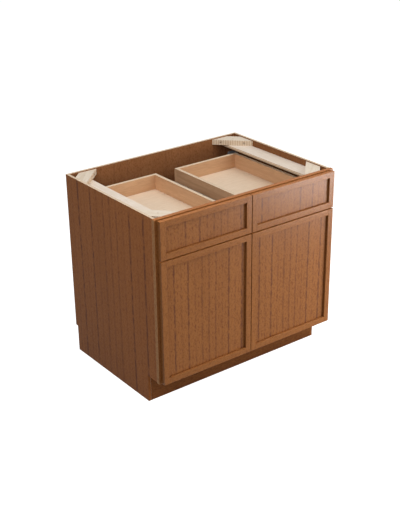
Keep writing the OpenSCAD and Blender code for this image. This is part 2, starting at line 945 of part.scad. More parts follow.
side_panel_left();
side_panel_right();
back_panel();
floor_panel();
toe_board();
frame_stile_left();
frame_stile_right();
frame_centre_stile();
frame_top_rail();
frame_mid_rail();
frame_bottom_rail();
strip_left();
strip_right();
corner_block_front_left();
corner_block_front_right();
corner_block_rear_left();
corner_block_rear_right();
case_screws();
shelf();
shelf_pins();
slide_rails();
slide_brackets();
hinge_bases();
slide_middles_left();
slide_middles_right();
drawer_left_box_front();
drawer_left_box_back();
drawer_left_box_sides();
drawer_left_bottom();
drawer_left_runners();
drawer_left_clips();
drawer_left_front_stiles();
drawer_left_front_rails();
drawer_left_front_panel();
drawer_left_screws();
drawer_left_bumpers();
drawer_right_box_front();
drawer_right_box_back();
drawer_right_box_sides();
drawer_right_bottom();
drawer_right_runners();
drawer_right_clips();
drawer_right_front_stiles();
drawer_right_front_rails();
drawer_right_front_panel();
drawer_right_screws();
drawer_right_bumpers();
door_left_stiles();
door_left_rails();
door_left_panel();
door_left_hinge_cups();
door_left_bumpers();
door_right_stiles();
door_right_rails();
door_right_panel();
door_right_hinge_cups();
door_right_bumpers();
hinge_arms_left();
hinge_arms_right();
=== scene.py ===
import json
import math
from contextlib import contextmanager

import bmesh
import bpy
from bpy.props import FloatProperty, FloatVectorProperty, PointerProperty
from bpy.types import Operator, Panel, PropertyGroup
from mathutils import Matrix, Vector

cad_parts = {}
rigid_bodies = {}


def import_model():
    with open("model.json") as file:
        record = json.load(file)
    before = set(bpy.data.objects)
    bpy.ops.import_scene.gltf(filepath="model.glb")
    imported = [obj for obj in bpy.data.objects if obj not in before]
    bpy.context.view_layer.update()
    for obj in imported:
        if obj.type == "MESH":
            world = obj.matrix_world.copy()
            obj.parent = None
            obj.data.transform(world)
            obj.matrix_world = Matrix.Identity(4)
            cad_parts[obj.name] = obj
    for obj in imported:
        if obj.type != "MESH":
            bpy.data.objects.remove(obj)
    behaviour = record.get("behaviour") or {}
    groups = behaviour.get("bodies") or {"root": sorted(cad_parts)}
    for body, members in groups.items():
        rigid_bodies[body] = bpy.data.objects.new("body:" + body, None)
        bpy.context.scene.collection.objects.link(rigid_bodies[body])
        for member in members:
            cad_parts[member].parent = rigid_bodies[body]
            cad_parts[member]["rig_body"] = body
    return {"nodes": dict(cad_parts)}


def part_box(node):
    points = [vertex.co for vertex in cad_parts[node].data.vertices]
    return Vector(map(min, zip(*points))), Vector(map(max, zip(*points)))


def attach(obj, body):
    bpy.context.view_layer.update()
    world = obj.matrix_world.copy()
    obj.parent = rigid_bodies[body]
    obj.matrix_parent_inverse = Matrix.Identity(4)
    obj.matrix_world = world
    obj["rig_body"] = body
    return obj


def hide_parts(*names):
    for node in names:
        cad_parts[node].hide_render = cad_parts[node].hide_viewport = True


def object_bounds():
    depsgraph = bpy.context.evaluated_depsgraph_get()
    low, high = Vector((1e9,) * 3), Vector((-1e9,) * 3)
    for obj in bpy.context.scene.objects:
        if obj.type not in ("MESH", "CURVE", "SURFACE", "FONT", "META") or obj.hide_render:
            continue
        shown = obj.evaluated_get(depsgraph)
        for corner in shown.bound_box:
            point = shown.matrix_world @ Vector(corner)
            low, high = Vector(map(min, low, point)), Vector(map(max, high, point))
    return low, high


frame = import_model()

bl_info = {
    "name": "Framed kitchen base cabinet",
    "version": (1, 0, 0),
    "blender": (4, 5, 0),
    "location": "3D View > Sidebar > Cabinet",
    "description": "Finishes and fittings of a base cabinet with two drawers and two doors",
    "category": "Object",
}

CAD_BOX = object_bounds()

SIDES = ("left", "right")
X, Y, Z = range(3)
ACROSS = Vector((1, 0, 0))
DEPTH = Vector((0, 1, 0))
UP = Vector((0, 0, 1))

# Vertices nearer than this are one corner, in metres
MERGE = 0.00001

# Faces that turn less than this from each other are one flat face, edges that turn more than
# the corner angle are eased, and shading is smooth over edges up to the last angle
FLAT_ANGLE = math.radians(0.5)
CORNER_ANGLE = math.radians(40)
SMOOTH_ANGLE = math.radians(50)

# A face looks along an axis if its normal has more than this share of it
FACING = 0.7

# Faces this near the highest point of a framed piece are its top edge, in metres
TOP_BAND = 0.005

# How far the veneer of each piece is shifted along its width, in metres, so that its strong
# streaks lie where the photo has them
SIDE_VENEER = 0.474
DRAWER_VENEERS = (0.505, 0.459)
DOOR_VENEERS = (0.567, 0.112)

# How far the grain of the face frame is shifted, in metres, so that it isn't the fronts' again
STILE_SHIFT = 0.4
RAIL_SHIFT = 0.2

# How strong the streaks are on wood other than the showing veneer, where they are 1
UPRIGHT_STREAKS = 0.3
LEVEL_STREAKS = 0.1
TOP_STREAKS = 0.2

# How much darker the toe board is painted than the case, as shade in the recess under the doors
TOE_PAINTED_SHADE = 0.32

# Corners of a screw farther out than this share of its radius belong to its head
HEAD_SHARE = 0.9

# Parts of a screw, as shares of its head's thickness or radius, and of its shank's width
HEAD_ROUNDING = 0.45
CROSS_HALF_WIDTH = 0.14
CROSS_REACH = 0.45
TIP_WIDTH = 0.1


# Sizes and colours that a user would change


def paint(red, green, blue):
    """A colour mixed on the usual 0 to 255 scale, as the linear colour that a shader takes."""
    parts = [value / 255 for value in (red, green, blue)]
    linear = [p / 12.92 if p <= 0.04045 else ((p + 0.055) / 1.055) ** 2.4 for p in parts]
    return (*linear, 1.0)


def colour(name, description, *mix):
    return FloatVectorProperty(name=name, description=description, subtype="COLOR", size=4,
                               min=0, max=1, default=paint(*mix))


def length(name, description, default):
    return FloatProperty(name=name, description=description, unit="LENGTH", precision=4,
                         min=0, default=default)


def share(name, description, default):
    return FloatProperty(name=name, description=description, subtype="FACTOR", min=0, max=1,
                         default=default)


def power(name, description, default):
    return FloatProperty(name=name, description=description, unit="POWER", min=0, default=default)


class CabinetFinish(PropertyGroup):
    """Colours and small sizes of the cabinet's finishes"""

    stain: colour("Stain", "Stained wood between its dark marks", 159, 102, 55)
    case_stain: colour("Case stain", "Stained wood of the case between its dark marks",
                       160, 101, 57)
    inside_stain: colour("Inside stain", "Stained wood inside the case", 151, 103, 67)
    dark_stain: colour("Dark stain", "Flecks and darker bands of the stained wood", 108, 60, 28)
    streak_stain: colour("Streaks", "Long soft streaks in the stained veneer", 88, 50, 38)
    red_stain: colour("Red marks", "Short reddish marks in the stained veneer", 114, 61, 35)
    # Rubbed edges are lighter partly from rubbing and partly from a painted highlight
    worn_highlit_stain: colour("Worn and highlit edges", "Stained wood where its edges are rubbed and painted with a highlight", 188, 126, 76)
    # The stiles' side faces get a lighter, greyer stain that is a painted sheen
    sheen_edge_stain: colour("Frame edge sheen", "Lighter, greyer stain on the side faces of the stiles, a painted sheen",
                       160, 115, 73)
    # Top edges are painted lighter and more orange, as where light from above falls on them
    lit_top_stain: colour("Lit top edges", "Thinner stain on the top edges of the frame and fronts",
                      186, 118, 64)
    # The fronts' narrow side faces are painted darker as shade on their sides and in their recesses
    painted_side_shade: share("Painted edge shade", "How much darker the narrow edges of the fronts are", 0.35)
    # A dark line of painted shade lies along a panel's edges, in the recess of its frame
    gathered: length("Gathered stain", "Width of the darker line along the edges of a panel", 0.004)
    streak_step: length("Front streaks", "Distance between every second streak of the fronts",
                        0.0715)
    case_streak_step: length("Case streaks", "Distance between every second streak of the case",
                             0.101)
    raw_wood: colour("Bracing", "Bare plywood of the corner blocks", 223, 208, 188)
    strip_wood: colour("Strip wood", "Bare plywood of the two strips", 231, 217, 202)
    raw_dark: colour("Bracing grain", "Grain lines of the bare plywood", 202, 180, 152)
    wall_wood: colour("Drawer walls", "Lacquered wood of the drawer boxes", 211, 169, 130)
    wall_dark: colour("Drawer wall grain", "Grain lines of the drawer boxes", 182, 136, 101)
    base_wood: colour("Drawer bottoms", "Lacquered plywood of the drawer bottoms", 229, 207, 182)
    base_dark: colour("Drawer bottom grain", "Grain lines of the drawer bottoms", 207, 180, 149)
    ply_light: colour("Light plies", "Light layers at the edges of plywood", 240, 225, 203)
    ply_dark: colour("Dark plies", "Dark layers at the edges of plywood", 186, 148, 108)
    ply_step: length("Ply", "Thickness of one layer of the plywood boards", 0.0021)
    strip_ply: length("Strip ply", "Thickness of one layer of the strips and blocks", 0.0042)
    zinc: colour("Zinc", "Plated steel of slides and hinges", 196, 198, 200)
    dark_zinc: colour("Dark zinc", "Plated steel of the wood screws", 92, 89, 86)
    plastic: colour("Plastic", "Clips and rear brackets of the slides", 38, 37, 37)
    bumper: colour("Bumper", "Soft clear pads behind the fronts", 214, 214, 208)
    board_ease: length("Eased board edge", "Radius of the sanded edges of boards", 0.0009)
    sheet_ease: length("Eased sheet edge", "Radius of the edges of sheet steel", 0.00035)


class CabinetStudio(PropertyGroup):
    """Floor, lamps and camera around the cabinet"""

    floor_width: length("Floor", "Width of the square floor", 60.0)
    floor_colour: colour("Floor colour", "Plain pale floor", 186, 186, 184)
    floor_glow: share("Floor whiteness", "How much of the floor's white is its own", 0.98)
    sky: FloatProperty(name="Sky", description="Even light from all round", min=0, default=0.09)
    key_power: power("Key lamp", "Large soft lamp at the right, above the front", 23.0)
    low_power: power("Low lamp", "Large soft lamp at the right, at the height of the fronts", 47.0)
    sheen_power: power("Sheen lamp", "Lamp low at the right that only shows as sheen", 55.0)
    top_power: power("Top lamp", "Large soft lamp above the cabinet", 66.0)
    left_power: power("Left lamp", "Large soft lamp at the left, above and before the front", 37.0)
    lens: FloatProperty(name="Lens", description="Focal length of the camera, in millimetres",
                        subtype="DISTANCE_CAMERA", min=10, default=69.33)


# Nodes of the materials


def add_node(tree, kind, inputs=None, **settings):
    """A shader node whose inputs are values, or sockets to link to."""
    node = tree.nodes.new("ShaderNode" + kind)
    for name, value in settings.items():
        setattr(node, name, value)
    for key, value in (inputs or {}).items():
        if isinstance(value, bpy.types.NodeSocket):
            tree.links.new(value, node.inputs[key])
        else:
            node.inputs[key].default_value = value
    return node


def reckon(tree, operation, first, second=0.0):
    return add_node(tree, "Math", {0: first, 1: second}, operation=operation).outputs[0]


def mix(tree, amount, first, second):
    """The first colour turning into the second."""
    node = add_node(tree, "Mix", {0: amount, 6: first, 7: second}, data_type="RGBA")
    return node.outputs[2]


def ramp(tree, value, low, high, start=0.0, end=1.0):
    """A soft step from start to end while the value goes from low to high."""
    node = add_node(tree, "MapRange", {0: value, 1: low, 2: high, 3: start, 4: end},
                    interpolation_type="SMOOTHSTEP")
    return node.outputs[0]


def noise(tree, place, per_metre, detail=2.0):
    """Noise with its own number of marks per metre along each axis."""
    scaled = add_node(tree, "VectorMath", {0: place, 1: per_metre}, operation="MULTIPLY")
    node = add_node(tree, "TexNoise", {"Vector": scaled.outputs[0], "Scale": 1.0, "Detail": detail})
    return node.outputs[0]


def new_group(name, takes, gives):
    """An empty node group, with the sockets that its own nodes read and feed."""
    group = bpy.data.node_groups.new(name, "ShaderNodeTree")
    for label, kind in takes.items():
        group.interface.new_socket(name=label, in_out="INPUT", socket_type="NodeSocket" + kind)
    for label, kind in gives.items():
        group.interface.new_socket(name=label, in_out="OUTPUT", socket_type="NodeSocket" + kind)
    taken = group.nodes.new("NodeGroupInput").outputs
    given = group.nodes.new("NodeGroupOutput").inputs
    return group, taken, given


def stained_grain_group():
    """Stained veneer with its grain along Z: long streaks half a step apart, some of them
    strong, mirrored every four steps, with short reddish marks, fine flecks and fibres."""
    takes = {"Place": "Vector", "Stain": "Color", "Dark stain": "Color", "Streak stain": "Color",
             "Red stain": "Color", "Streak step": "Float", "Streaks": "Float"}
    gives = {"Color": "Color", "Roughness": "Float", "Height": "Float"}
    group, taken, given = new_group("Stained grain", takes, gives)
    place = taken["Place"]
    axes = add_node(group, "SeparateXYZ", {0: place}).outputs

    sway = reckon(group, "SUBTRACT", noise(group, place, (3, 3, 1.6), 2.0), 0.5)
    sway = reckon(group, "MULTIPLY", sway, 0.02)
    across = reckon(group, "ADD", reckon(group, "ADD", axes[X], axes[Y]), sway)
    steps = reckon(group, "DIVIDE", across, taken["Streak step"])
    # Steps to the nearest streak, at every half step
    streak = ramp(group, reckon(group, "PINGPONG", steps, 0.25), 0.0, 0.12, 1.0, 0.0)
    # Paired is zero at the strong streaks, at 1.5 and 2.5 of the four mirrored steps
    mirrored = reckon(group, "PINGPONG", steps, 4.0)
    paired = reckon(group, "ABSOLUTE", reckon(group, "SUBTRACT", mirrored, 2.0))
    paired = reckon(group, "ABSOLUTE", reckon(group, "SUBTRACT", paired, 0.5))
    faint = ramp(group, mirrored, 0.6, 0.9, 0.45, 0.22)
    strong = reckon(group, "MAXIMUM", ramp(group, paired, 0.0, 0.3, 0.85, 0.0), faint)
    broken = ramp(group, noise(group, place, (90, 90, 34), 3.0), 0.34, 0.62, 0.2, 0.95)
    streaks = reckon(group, "MULTIPLY", reckon(group, "MULTIPLY", streak, strong), broken)
    # The reddish marks lie in rows a quarter of a step apart
    rows = ramp(group, reckon(group, "PINGPONG", steps, 0.125), 0.0, 0.09, 1.0, 0.3)
    marks = ramp(group, noise(group, place, (150, 150, 60), 3.0), 0.46, 0.72, 0.0, 0.65)
    marks = reckon(group, "MULTIPLY", marks, rows)

    bands = ramp(group, noise(group, place, (14, 14, 1.1), 2.0), 0.35, 0.68, 0.0, 0.15)
    flecks = ramp(group, noise(group, place, (210, 210, 110), 3.0), 0.44, 0.7, 0.0, 0.5)
    fibres = noise(group, place, (900, 900, 36), 2.0)

    stained = mix(group, bands, taken["Stain"], taken["Dark stain"])
    stained = mix(group, flecks, stained, taken["Dark stain"])
    marks = reckon(group, "MULTIPLY", marks, taken["Streaks"])
    stained = mix(group, marks, stained, taken["Red stain"])
    streaks = reckon(group, "MULTIPLY", streaks, taken["Streaks"])
    stained = mix(group, streaks, stained, taken["Streak stain"])
    shade = ramp(group, fibres, 0.3, 0.7, 0.0, 0.12)
    group.links.new(mix(group, shade, stained, taken["Dark stain"]), given["Color"])
    group.links.new(ramp(group, fibres, 0.3, 0.7, 0.24, 0.34), given["Roughness"])
    group.links.new(reckon(group, "SUBTRACT", fibres, flecks), given["Height"])
    return group


def pale_grain_group():
    """Bare or lacquered pale wood with its grain along Z: wandering year lines and fine pores."""
    takes = {"Place": "Vector", "Wood": "Color", "Grain": "Color", "Year lines": "Float"}
    gives = {"Color": "Color", "Roughness": "Float", "Height": "Float"}
    group, taken, given = new_group("Pale grain", takes, gives)
    place = taken["Place"]
    growth = reckon(group, "MULTIPLY", noise(group, place, (9, 9, 0.8), 2.0), 60.0)
    lines = reckon(group, "MULTIPLY", ramp(group, reckon(group, "SINE", growth), -0.2, 1.0),
                   taken["Year lines"])
    faint = ramp(group, noise(group, place, (5, 5, 1.2), 1.0), 0.35, 0.65, 0.35, 1.0)
    pores = ramp(group, noise(group, place, (420, 420, 28), 2.0), 0.42, 0.7, 0.0, 0.4)
    grain = reckon(group, "MAXIMUM", reckon(group, "MULTIPLY", lines, faint), pores)
    group.links.new(mix(group, grain, taken["Wood"], taken["Grain"]), given["Color"])
    group.links.new(ramp(group, pores, 0.0, 0.4, 0.45, 0.6), given["Roughness"])
    group.links.new(reckon(group, "SUBTRACT", 1.0, pores), given["Height"])
    return group


def ply_layer_group():
    """The layers at the edge of plywood, one above the other along Z."""
    takes = {"Place": "Vector", "Light": "Color", "Dark": "Color", "Ply": "Float"}
    gives = {"Color": "Color", "Height": "Float"}
    group, taken, given = new_group("Ply layers", takes, gives)
    place = taken["Place"]
    axes = add_node(group, "SeparateXYZ", {0: place}).outputs
    rough = noise(group, place, (40, 40, 40), 2.0)
    wander = reckon(group, "MULTIPLY", rough, 0.0006)
    depth = reckon(group, "DIVIDE", reckon(group, "ADD", axes[Z], wander), taken["Ply"])
    layer = ramp(group, reckon(group, "PINGPONG", depth, 1.0), 0.35, 0.65, 0.0, 0.75)
    fibres = ramp(group, noise(group, place, (260, 260, 700), 2.0), 0.35, 0.7, 0.0, 0.3)
    marks = reckon(group, "MAXIMUM", layer, fibres)
    group.links.new(mix(group, marks, taken["Light"], taken["Dark"]), given["Color"])
    group.links.new(reckon(group, "SUBTRACT", 1.0, marks), given["Height"])
    return group


def rubbed_highlit_edge_group():
    """How far a point lies on a rubbed edge, broken up along its length, which marks both rubbing and
    a painted highlight.
    """
    group, taken, given = new_group("Rubbed edge", {"Place": "Vector", "Radius": "Float"},
                                    {"Amount": "Float"})
    rounded = add_node(group, "Bevel", {"Radius": taken["Radius"]}, samples=4).outputs[0]
    facing = add_node(group, "NewGeometry").outputs["Normal"]
    even = add_node(group, "VectorMath", {0: rounded, 1: facing}, operation="DOT_PRODUCT")
    edge = ramp(group, even.outputs["Value"], 0.86, 0.995, 1.0, 0.0)
    broken = ramp(group, noise(group, taken["Place"], (35, 35, 35), 3.0), 0.3, 0.65, 0.35, 1.0)
    group.links.new(reckon(group, "MULTIPLY", edge, broken), given["Amount"])
    return group


def painted_recess_shade_group():
    """How much painted shade lies along the sides of a rectangle in X and Z, as in the recess around
    a panel.
    """
    takes = {"Place": "Vector", "Low": "Vector", "High": "Vector", "Width": "Float"}
    group, taken, given = new_group("Gathered stain", takes, {"Amount": "Float"})
    place = taken["Place"]
    after = add_node(group, "VectorMath", {0: place, 1: taken["Low"]}, operation="SUBTRACT")
    before = add_node(group, "VectorMath", {0: taken["High"], 1: place}, operation="SUBTRACT")
    nearest = add_node(group, "VectorMath", {0: after.outputs[0], 1: before.outputs[0]},
                       operation="MINIMUM")
    axes = add_node(group, "SeparateXYZ", {0: nearest.outputs[0]}).outputs
    inwards = reckon(group, "DIVIDE", reckon(group, "MINIMUM", axes[X], axes[Z]), taken["Width"])
    uneven = ramp(group, noise(group, place, (12, 12, 12), 2.0), 0.35, 0.65, 0.1, 0.6)
    line = ramp(group, inwards, 0.2, 1.0, 1.0, 0.0)
    group.links.new(reckon(group, "MULTIPLY", line, uneven), given["Amount"])
    return group


def plated_steel_group():
    """The faint cloudy pattern and fine scratches of plated sheet steel."""
    takes = {"Place": "Vector", "Metal": "Color", "Dull": "Color"}
    gives = {"Color": "Color", "Roughness": "Float", "Height": "Float"}
    group, taken, given = new_group("Plated steel", takes, gives)
    clouds = ramp(group, noise(group, taken["Place"], (60, 60, 60), 3.0), 0.35, 0.65)
    scratches = noise(group, taken["Place"], (900, 60, 900), 2.0)
    group.links.new(mix(group, clouds, taken["Metal"], taken["Dull"]), given["Color"])
    group.links.new(ramp(group, clouds, 0.0, 1.0, 0.28, 0.42), given["Roughness"])
    group.links.new(scratches, given["Height"])
    return group


def shared_group(name, build):
    return bpy.data.node_groups.get(name) or build()


# Materials


def new_material(name, roughness=0.5, metallic=0.0, specular=0.5):
    material = bpy.data.materials.new(name)
    material.use_nodes = True
    shader = material.node_tree.nodes["Principled BSDF"]
    shader.inputs["Roughness"].default_value = roughness
    shader.inputs["Metallic"].default_value = metallic
    shader.inputs["Specular IOR Level"].default_value = specular
    return material, material.node_tree, shader


def grain_place(tree, grain, shift=(0, 0, 0)):
    """Object coordinates turned so that the grain runs along Z."""
    turn = grain.rotation_difference(UP).to_euler()
    place = add_node(tree, "TexCoord").outputs["Object"]
    mapping = add_node(tree, "Mapping", {"Vector": place, "Rotation": turn, "Location": shift})
    return mapping.outputs[0]


def place_group(tree, group, inputs):
    node = add_node(tree, "Group", node_tree=group)
    for key, value in inputs.items():
        if isinstance(value, bpy.types.NodeSocket):
            tree.links.new(value, node.inputs[key])
        else:
            node.inputs[key].default_value = value
    return node.outputs


def join_relief(tree, shader, height, deep):
    """Gives the surface a relief of that depth in metres."""
    bump = add_node(tree, "Bump", {"Strength": 0.6, "Distance": deep, "Height": height})
    tree.links.new(bump.outputs[0], shader.inputs["Normal"])


def darker(stain, amount):
    return (*[part * (1 - amount) for part in stain[:3]], 1.0)


def stained_wood(name, grain, stain=None, shade=0.0, shift=(0, 0, 0), step=None, streaks=1.0,
                 gloss=0.08, wear_and_highlight=0.4, opening=None):
    """Stained and lacquered wood with rubbed edges that also carry a painted highlight. Shade makes
    the stain darker and so paints shade where it is given, and a dark line of painted shade lies
    along the edges of a panel that shows in an opening, in the recess of its frame."""
    if name in bpy.data.materials:
        return bpy.data.materials[name]
    finish = bpy.context.scene.cabinet_finish
    material, tree, shader = new_material(name, specular=gloss)
    place = grain_place(tree, grain, shift)
    wood = place_group(tree, shared_group("Stained grain", stained_grain_group), {
        "Place": place,
        "Stain": darker(stain or finish.stain, shade),
        "Dark stain": darker(finish.dark_stain, shade),
        "Streak stain": darker(finish.streak_stain, shade),
        "Red stain": darker(finish.red_stain, shade),
        "Streak step": step or finish.streak_step,
        "Streaks": streaks,
    })
    # Lighter rubbed edges, partly rubbing and partly a painted highlight
    rubbed = place_group(tree, shared_group("Rubbed edge", rubbed_highlit_edge_group),
                         {"Place": place, "Radius": 2 * finish.board_ease})
    worn_and_highlit = reckon(tree, "MULTIPLY", rubbed["Amount"], wear_and_highlight)
    colours = mix(tree, worn_and_highlit, wood["Color"], darker(finish.worn_highlit_stain, shade))
    # Painted shade of the panel's recess, a dark line along its edges
    if opening:
        gathered = place_group(tree, shared_group("Gathered stain", painted_recess_shade_group), {
            "Place": add_node(tree, "TexCoord").outputs["Object"],
            "Low": opening[0],
            "High": opening[1],
            "Width": finish.gathered,
        })
        colours = mix(tree, gathered["Amount"], colours, darker(finish.dark_stain, 0.5))
    tree.links.new(colours, shader.inputs["Base Color"])
    tree.links.new(wood["Roughness"], shader.inputs["Roughness"])
    join_relief(tree, shader, wood["Height"], 0.00012)
    return material


def pale_wood(name, grain, wood_colour, grain_colour, year_lines=0.5):
    """Bare or lacquered pale wood."""
    if name in bpy.data.materials:
        return bpy.data.materials[name]
    material, tree, shader = new_material(name, specular=0.25)
    wood = place_group(tree, shared_group("Pale grain", pale_grain_group), {
        "Place": grain_place(tree, grain),
        "Wood": wood_colour,
        "Grain": grain_colour,
        "Year lines": year_lines,
    })
    tree.links.new(wood["Color"], shader.inputs["Base Color"])
    tree.links.new(wood["Roughness"], shader.inputs["Roughness"])
    join_relief(tree, shader, wood["Height"], 0.0001)
    return material


def ply_edge(name, thickness, low, ply=None):
    """The layered edge of a board that is thin along one axis and starts at low on it."""
    if name in bpy.data.materials:
        return bpy.data.materials[name]
    finish = bpy.context.scene.cabinet_finish
    material, tree, shader = new_material(name, roughness=0.7, specular=0.05)
    layers = place_group(tree, shared_group("Ply layers", ply_layer_group), {
        "Place": grain_place(tree, thickness, (0, 0, -low)),
        "Light": finish.ply_light,
        "Dark": finish.ply_dark,
        "Ply": ply or finish.ply_step,
    })
    tree.links.new(layers["Color"], shader.inputs["Base Color"])
    join_relief(tree, shader, layers["Height"], 0.00015)
    return material


def plated_steel(name, metal):
    if name in bpy.data.materials:
        return bpy.data.materials[name]
    material, tree, shader = new_material(name, metallic=1.0)
    steel = place_group(tree, shared_group("Plated steel", plated_steel_group), {
        "Place": grain_place(tree, UP),
        "Metal": metal,
        "Dull": darker(metal, 0.25),
    })
    tree.links.new(steel["Color"], shader.inputs["Base Color"])
    tree.links.new(steel["Roughness"], shader.inputs["Roughness"])
    join_relief(tree, shader, steel["Height"], 0.00004)
    return material


def moulded_plastic(name, tint):
    if name in bpy.data.materials:
        return bpy.data.materials[name]
    material, tree, shader = new_material(name, specular=0.05)
    place = grain_place(tree, UP)
    pebbles = noise(tree, place, (1400, 1400, 1400), 2.0)
    patches = ramp(tree, noise(tree, place, (70, 70, 70), 2.0), 0.3, 0.7)
    tree.links.new(mix(tree, patches, tint, darker(tint, 0.15)), shader.inputs["Base Color"])
    tree.links.new(ramp(tree, pebbles, 0.3, 0.7, 0.45, 0.62), shader.inputs["Roughness"])
    join_relief(tree, shader, pebbles, 0.00005)
    return material


def clear_rubber(name, tint):
    if name in bpy.data.materials:
        return bpy.data.materials[name]
    material, tree, shader = new_material(name, specular=0.5)
    haze = ramp(tree, noise(tree, grain_place(tree, UP), (300, 300, 300), 2.0), 0.3, 0.7)
    tree.links.new(mix(tree, haze, tint, darker(tint, 0.08)), shader.inputs["Base Color"])
    tree.links.new(ramp(tree, haze, 0.0, 1.0, 0.2, 0.35), shader.inputs["Roughness"])
    shader.inputs["Subsurface Weight"].default_value = 0.3
    shader.inputs["Subsurface Radius"].default_value = (0.003, 0.003, 0.003)
    return material


# Modelling


def select_only(piece):
    bpy.ops.object.select_all(action="DESELECT")
    piece.select_set(True)
    bpy.context.view_layer.objects.active = piece


@contextmanager
def editing(piece):
    """Edit mode on one piece, with its mesh open for choosing faces and edges."""
    select_only(piece)
    bpy.ops.object.mode_set(mode="EDIT")
    yield bmesh.from_edit_mesh(piece.data)
    bpy.ops.object.mode_set(mode="OBJECT")


def choose(mesh, kind, wanted):
    """Selects the edges or faces that are wanted, and nothing else."""
    bpy.ops.mesh.select_all(action="DESELECT")
    bpy.ops.mesh.select_mode(type={"edges": "EDGE", "faces": "FACE"}[kind])
    for element in getattr(mesh, kind):
        if wanted(element):
            element.select_set(True)
    mesh.select_flush_mode()


def solid_copy(node, name):
    """A piece with the shape of a node, its loose triangles merged into whole faces."""
    piece = bpy.data.objects.new(name, frame["nodes"][node].data.copy())
    piece.data.materials.clear()
    bpy.context.scene.collection.objects.link(piece)
    with editing(piece):
        bpy.ops.mesh.select_all(action="SELECT")
        bpy.ops.mesh.customdata_custom_splitnormals_clear()
        bpy.ops.mesh.remove_doubles(threshold=MERGE)
        bpy.ops.mesh.dissolve_limited(angle_limit=FLAT_ANGLE)
    return piece


def ease_edges(piece, radius, shortest, segments=2):
    """Rounds the corners of a piece whose edges are longer than the shortest."""
    def corner(edge):
        if not edge.is_manifold or edge.calc_length() < shortest:
            return False
        return edge.calc_face_angle() > CORNER_ANGLE

    with editing(piece) as mesh:
        choose(mesh, "edges", corner)
        bpy.ops.mesh.bevel(offset=radius, segments=segments, affect="EDGES", clamp_overlap=False)


def smooth(piece):
    """Smooth curves and corners, with flat faces that stay flat."""
    select_only(piece)
    bpy.ops.object.shade_smooth_by_angle(angle=SMOOTH_ANGLE)
    weighted = piece.modifiers.new("Flat faces", "WEIGHTED_NORMAL")
    weighted.keep_sharp = True
    bpy.ops.object.modifier_apply(modifier=weighted.name)


def stand_for(piece, node, finishes, pick=None):
    """Gives a piece its finishes and puts it in the place of a node."""
    for finish in finishes:
        piece.data.materials.append(finish)
    for face in piece.data.polygons:
        face.material_index = pick(face) if pick else 0
    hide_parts(node)
    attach(piece, frame["nodes"][node]["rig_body"])
    return piece


def dress(node, ease, finishes, pick=None, shortest=0.004):
    """The usual piece: a node's solid with eased edges and its finishes."""
    piece = solid_copy(node, node + "_finished")
    ease_edges(piece, ease, shortest)
    smooth(piece)
    return stand_for(piece, node, finishes, pick)


def edges_across(axis):
    """Picks the second finish for faces that look along the board instead of out of it."""
    return lambda face: 0 if abs(face.normal[axis]) > FACING else 1


def top_edges(face):
    return 1 if face.normal.z > FACING else 0


def framed_faces(top):
    """Picks the second finish for faces to the sides, and the third at the very top."""
    def pick(face):
        if face.normal.z > FACING and face.center.z > top - TOP_BAND:
            return 2
        return 1 if abs(face.normal.x) > FACING else 0
    return pick


def board(node, face_finish, axis, pick=None, ply=None):
    """A plywood board, thin along one axis, with its layers showing at the edges."""
    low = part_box(node)[0][axis]
    direction = (ACROSS, DEPTH, UP)[axis]
    finish = bpy.context.scene.cabinet_finish
    edge = ply_edge(f"{node}_plies", direction, low, ply)
    return dress(node, finish.board_ease, [face_finish, edge], pick or edges_across(axis))


# Operators, one for each group of like pieces


def case_wood(name, grain, stain, **settings):
    """Stained plywood of the case, which shines less than the fronts and has less rubbing and less
    painted highlight on its edges.
    """
    return stained_wood(name, grain, stain, gloss=0.02, wear_and_highlight=0.15, **settings)


def case_level():
    """Stained plywood of the case with its grain from side to side."""
    finish = bpy.context.scene.cabinet_finish
    return case_wood("case_wood_level", ACROSS, finish.case_stain, step=finish.case_streak_step)


class CABINET_OT_case(Operator):
    """Side panels, back, floor and toe board in stained plywood"""

    bl_idname = "cabinet.case"
    bl_label = "Case"

    def execute(self, context):
        finish = context.scene.cabinet_finish
        upright = case_wood("case_wood_upright", UP, finish.case_stain,
                            shift=(SIDE_VENEER, 0, 0), step=finish.case_streak_step)
        plain = case_wood("case_wood_plain", UP, finish.inside_stain, streaks=UPRIGHT_STREAKS)
        for side, inwards in zip(SIDES, (1, -1)):
            plies = ply_edge(f"side_panel_{side}_plies", ACROSS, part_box(f"side_panel_{side}")[0][X])
            dress(f"side_panel_{side}", finish.board_ease, [upright, plies, plain],
                  lambda face: 2 if face.normal.x * inwards > FACING else top_edges(face))
        board("back_panel", plain, Y, top_edges)
        # The toe board's darker stain is painted shade
        dark = case_wood("toe_wood", ACROSS, finish.case_stain, shade=TOE_PAINTED_SHADE)
        board("floor_panel", case_level(), Z)
        board("toe_board", dark, Y)
        return {"FINISHED"}


def lit_top_wood():
    """The lighter stain on the top edges of the face frame and of the fronts, a painted light from
    above.
    """
    stain = bpy.context.scene.cabinet_finish.lit_top_stain
    return stained_wood("top_edge_wood", ACROSS, stain, streaks=TOP_STREAKS, gloss=0.04)


class CABINET_OT_face_frame(Operator):
    """Stiles and rails of the face frame in stained solid wood"""

    bl_idname = "cabinet.face_frame"
    bl_label = "Face frame"

    def execute(self, context):
        finish = context.scene.cabinet_finish
        upright = stained_wood("frame_wood_upright", UP, shift=(STILE_SHIFT, 0, 0),
                               streaks=UPRIGHT_STREAKS)
        level = stained_wood("frame_wood_level", ACROSS, shift=(RAIL_SHIFT, 0, 0),
                             streaks=LEVEL_STREAKS)
        # Side faces of the stiles: a painted sheen
        edge = stained_wood("frame_wood_edge", UP, finish.sheen_edge_stain, streaks=UPRIGHT_STREAKS,
                            gloss=0.04)
        top = lit_top_wood()
        for stile in ("frame_stile_left", "frame_stile_right", "frame_centre_stile"):
            dress(stile, finish.board_ease, [upright, edge, top],
                  framed_faces(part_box(stile)[1][Z]))
        for rail in ("frame_top_rail", "frame_mid_rail", "frame_bottom_rail"):
            dress(rail, finish.board_ease, [level, level, top],
                  framed_faces(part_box("frame_top_rail")[1][Z]))
        return {"FINISHED"}


